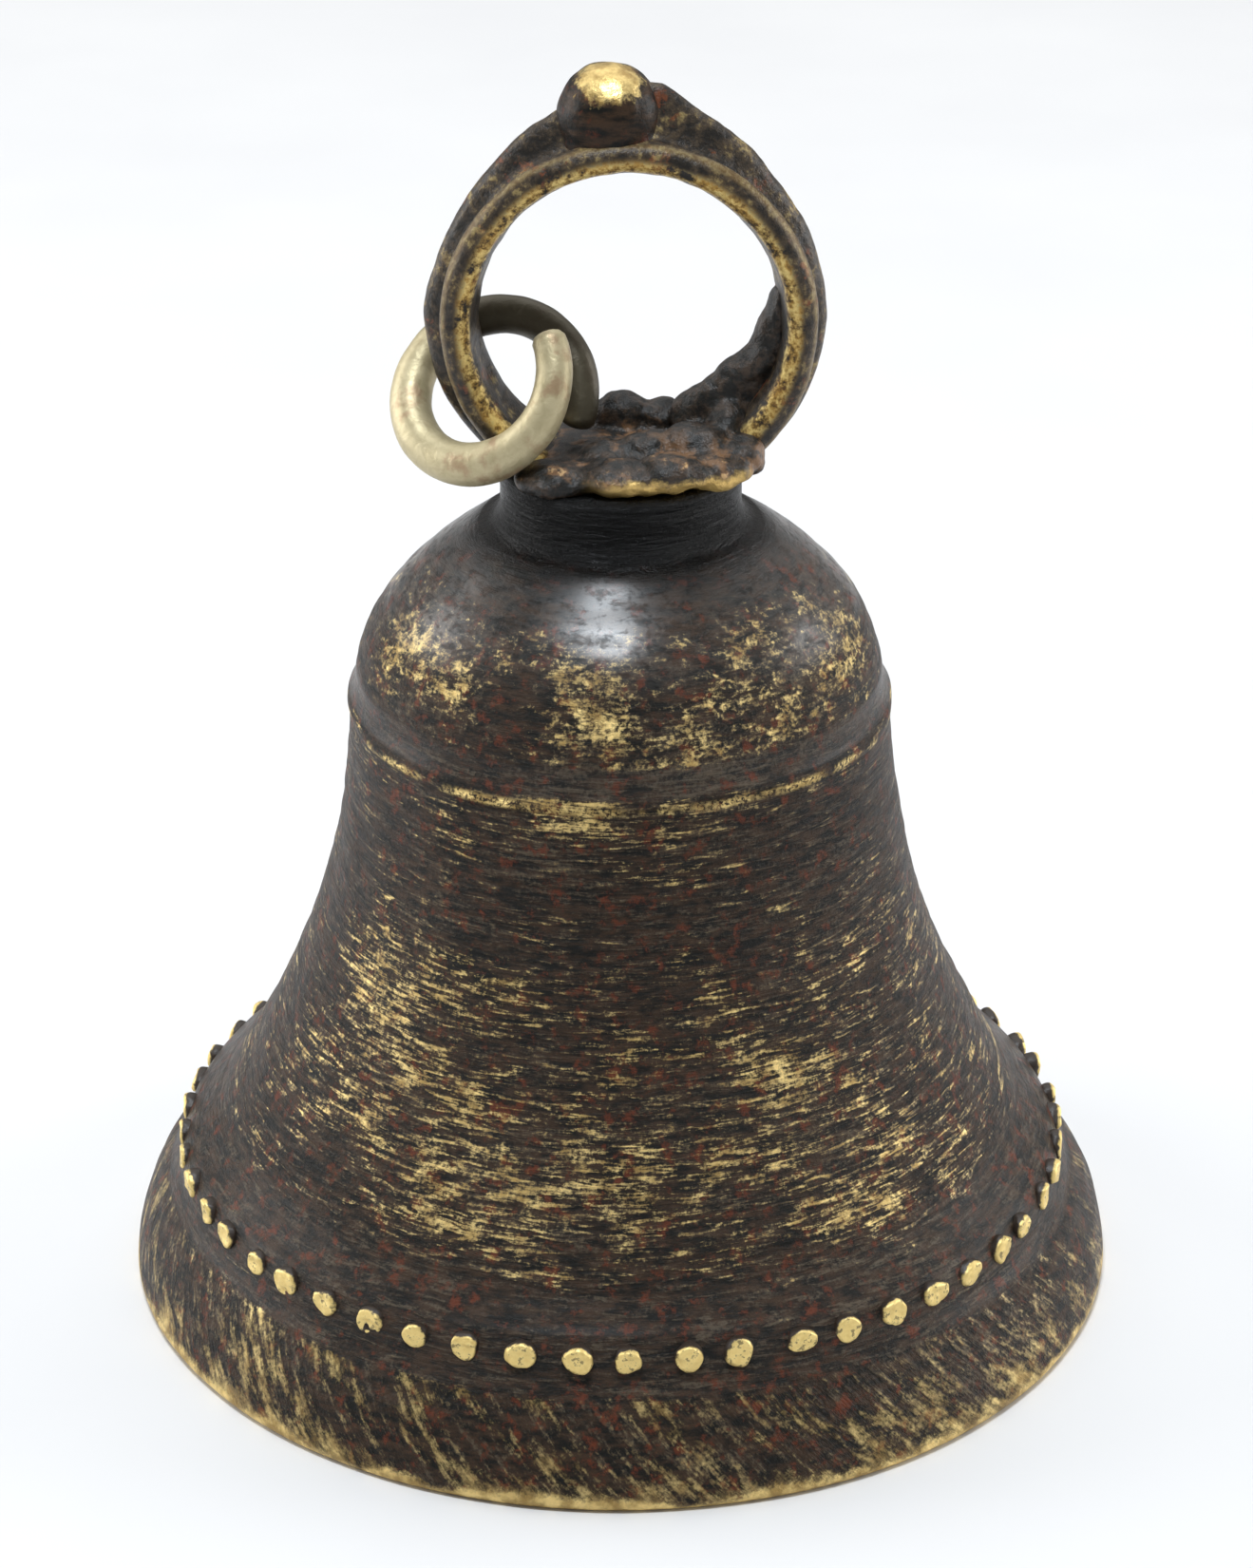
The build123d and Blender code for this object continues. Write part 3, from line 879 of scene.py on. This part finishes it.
web_spine = [
    (9.1, 0.7, 61.2, 0.7, 1.0, 0.9),
    (8.9, 0.7, 59.2, 1.2, 1.2, 1.2),
    (8.1, 0.7, 57.4, 1.3, 1.2, 1.3),
    (6.1, 0.7, 55.3, 1.4, 1.2, 1.4),
    (4.2, 0.8, 53.9, 1.4, 1.2, 1.3),
]
web_root = [(8.6, 0.7, 56.6, 1.2, 1.1, 1.3), (6.6, 0.7, 53.8, 1.6, 1.2, 1.4)]
braze_balls += bead(web_spine, 6) + bead(web_root, 6)
braze_piece = lump("braze", braze_balls, 0.16, 6, [(2.2, 0.30), (0.9, 0.14), (0.4, 0.04)],
                   braze_metal, "braze_mound")

# %% [markdown]
# ## Wire pieces
#
# The link, the staple, the chain link and the rod's eye are all bent wire. A curve with a round bevel
# would do, but hammered wire is never quite round, so a circle is carried along the path by hand and
# its size changes a little on the way. The ends are rounded by shrinking the last few circles.

# %% Carrying a circle along a path


def tube_rows(path, radius, sides=28, closed=False):
    """Circles square to a path. The first one's direction is carried along without twist."""
    path = np.asarray(path, float)
    ahead = np.roll(path, -1, axis=0) - np.roll(path, 1, axis=0)
    if not closed:
        ahead[0] = path[1] - path[0]
        ahead[-1] = path[-1] - path[-2]
    ahead /= np.linalg.norm(ahead, axis=1, keepdims=True)
    side = np.cross(ahead[0], (0.3, 0.5, 0.8))
    rows = []
    turns = np.linspace(0, 2 * np.pi, sides, endpoint=False)
    for spot, way, r in zip(path, ahead, radius):
        side = side - way * np.dot(side, way)
        side /= np.linalg.norm(side)
        up = np.cross(way, side)
        rows.append(spot + r * (np.cos(turns)[:, None] * side + np.sin(turns)[:, None] * up))
    return np.array(rows)


def round_ends(path, radius, steps=6):
    """Adds a rounded end to each end of a path and its list of radii."""
    first, last = path[0], path[-1]
    back = (path[0] - path[1]) / np.linalg.norm(path[0] - path[1])
    forth = (path[-1] - path[-2]) / np.linalg.norm(path[-1] - path[-2])
    bulge = np.linspace(1, 0.06, steps)
    reach = np.sqrt(1 - bulge**2) * radius * 0.45
    head = [first + back * d for d in reach[::-1]]
    tail = [last + forth * d for d in reach]
    sizes = np.concatenate([radius * bulge[::-1], np.full(len(path) - 2, radius), radius * bulge])
    return np.vstack([head, path[1:-1], tail]), sizes


def hammered(rows, depth):
    middle = rows.mean(axis=1, keepdims=True)
    out = rows - middle
    out /= np.maximum(np.linalg.norm(out, axis=2, keepdims=True), 1e-6)
    push = rough(rows, 2.4, depth, 7.7) + rough(rows, 0.7, depth * 0.3, 1.7)
    return rows + out * push[..., None]


# %% The wire link
LINK_MIDDLE = Vector((-7.46, 0.03, 55.85))
LINK_TILT = math.radians(-35.8)
LINK_HEADING = math.radians(65.1)
LINK_START = math.radians(145.6)
LINK_R = 4.78
LINK_TURNS = 1.11
LINK_PITCH = 4.2
LINK_WIRE = 1.12


def coil_path():
    axis = Vector((math.cos(LINK_TILT) * math.cos(LINK_HEADING),
                   math.cos(LINK_TILT) * math.sin(LINK_HEADING), math.sin(LINK_TILT)))
    level = Vector((0, 0, 1)).cross(axis).normalized()
    other = axis.cross(level)
    path = []
    for share in np.linspace(0, 1, 150):
        turn = LINK_START + share * LINK_TURNS * 2 * math.pi
        along = (share - 0.5) * LINK_TURNS * LINK_PITCH
        path.append(LINK_MIDDLE + axis * along + (level * math.cos(turn) + other * math.sin(turn)) * LINK_R)
    return np.array([tuple(p) for p in path])


path, sizes = round_ends(coil_path(), LINK_WIRE)
share = np.linspace(0, 1, len(sizes))
sizes *= np.interp(share, (0, 0.12, 0.30, 0.50, 0.62, 0.9, 1), (0.84, 0.95, 1.12, 1.08, 1.0, 0.97, 0.88))
points, faces = capped(hammered(tube_rows(path, sizes, 36), 0.05))
link_piece = make_piece("wire_link", points, faces, link_metal, "link", ["link_ring"])

# %% [markdown]
# ## The clapper
#
# It hangs inside, out of sight until the bell is tipped: an iron eye in the crown, an oval link, and a
# rod with a ball. The eye and the rod's eye lie in one plane and the link between them in the other,
# so the clapper swings both ways.

# %% The clapper's sizes
STAPLE_Z = 42.0
STAPLE_R = 2.4
STAPLE_WIRE = 0.8
CHAIN_R = 1.7
CHAIN_WIRE = 0.65
CHAIN_TOP = 41.17
CHAIN_LOW = 35.57
EYE_Z = 35.29
ROD_R = 0.95
BALL_R = 5.0
BALL_Z = 11.5


def eye_rows(z, reach, wire):
    """A closed ring in the XZ plane."""
    turns = np.linspace(0, 2 * np.pi, 56, endpoint=False)
    path = np.stack([reach * np.cos(turns), 0 * turns, z + reach * np.sin(turns)], axis=1)
    rows = hammered(tube_rows(path, np.full(56, wire), 20, closed=True), 0.03)
    return rows


def ring_mesh(rows):
    return rows.reshape(-1, 3), grid_faces(rows.shape[0], rows.shape[1], loop_rows=True)


def joined(*meshes):
    """Several closed meshes as one list of points and faces."""
    all_points, all_faces, start = [], [], 0
    for mesh_points, mesh_faces in meshes:
        all_points.append(mesh_points)
        all_faces += [tuple(i + start for i in face) for face in mesh_faces]
        start += len(mesh_points)
    return np.vstack(all_points), all_faces


# %% The staple
shank = np.array([(0, 0, z) for z in np.linspace(STAPLE_Z + STAPLE_R, 50.4, 16)], float)
points, faces = joined(ring_mesh(eye_rows(STAPLE_Z, STAPLE_R, STAPLE_WIRE)),
                       capped(tube_rows(shank, np.full(16, 1.08), 20)))
staple_piece = make_piece("staple", points, faces, clapper_metal, "bell", ["clapper_staple"])

# %% The chain link


def oval_path():
    arc_top = CHAIN_TOP - CHAIN_R
    arc_low = CHAIN_LOW + CHAIN_R
    up = np.radians(np.linspace(0, 180, 22))
    down = np.radians(np.linspace(180, 360, 22))
    side = np.linspace(0, 1, 8)[1:-1]
    return np.array(
        [(0, CHAIN_R * math.cos(t), arc_top + CHAIN_R * math.sin(t)) for t in up]
        + [(0, -CHAIN_R, arc_top + (arc_low - arc_top) * s) for s in side]
        + [(0, CHAIN_R * math.cos(t), arc_low + CHAIN_R * math.sin(t)) for t in down]
        + [(0, CHAIN_R, arc_low + (arc_top - arc_low) * s) for s in side])


path = oval_path()
chain_rows = tube_rows(path, np.full(len(path), CHAIN_WIRE), 20, closed=True)
points, faces = ring_mesh(hammered(chain_rows, 0.03))
chain_piece = make_piece("chain_link", points, faces, clapper_metal,
                         "chain", ["clapper_link"])

# %% The rod and the ball
rod = np.array([(0, 0, z) for z in np.linspace(EYE_Z - CHAIN_R + 0.3, BALL_Z + BALL_R - 1.5, 60)], float)
rod_size = ROD_R * (1 + 0.10 * np.sin(np.linspace(0, 9, 60)))
points, faces = joined(ring_mesh(eye_rows(EYE_Z, CHAIN_R, CHAIN_WIRE)),
                       capped(hammered(tube_rows(rod, rod_size, 24), 0.05)))
rod_piece = make_piece("rod", points, faces, clapper_metal, "clapper", ["clapper_rod"])

tilt = np.linspace(0.02, math.pi - 0.02, 60)[:, None]
around = np.linspace(0, 2 * math.pi, 96, endpoint=False)[None, :]
ball_rows = np.stack([
    BALL_R * np.sin(tilt) * np.cos(around),
    BALL_R * np.sin(tilt) * np.sin(around),
    BALL_Z + BALL_R * 0.985 * np.cos(tilt) + 0 * around,
], axis=2)
centre = np.array([0, 0, BALL_Z])
way = (ball_rows - centre) / BALL_R
dents = -np.abs(rough(ball_rows, 3.5, 0.28, 3.3)) + rough(ball_rows, 0.9, 0.03, 2.1)
points, faces = capped(ball_rows + way * dents[..., None])
ball_piece = make_piece("ball", points, faces, clapper_metal, "clapper", ["clapper_ball"])
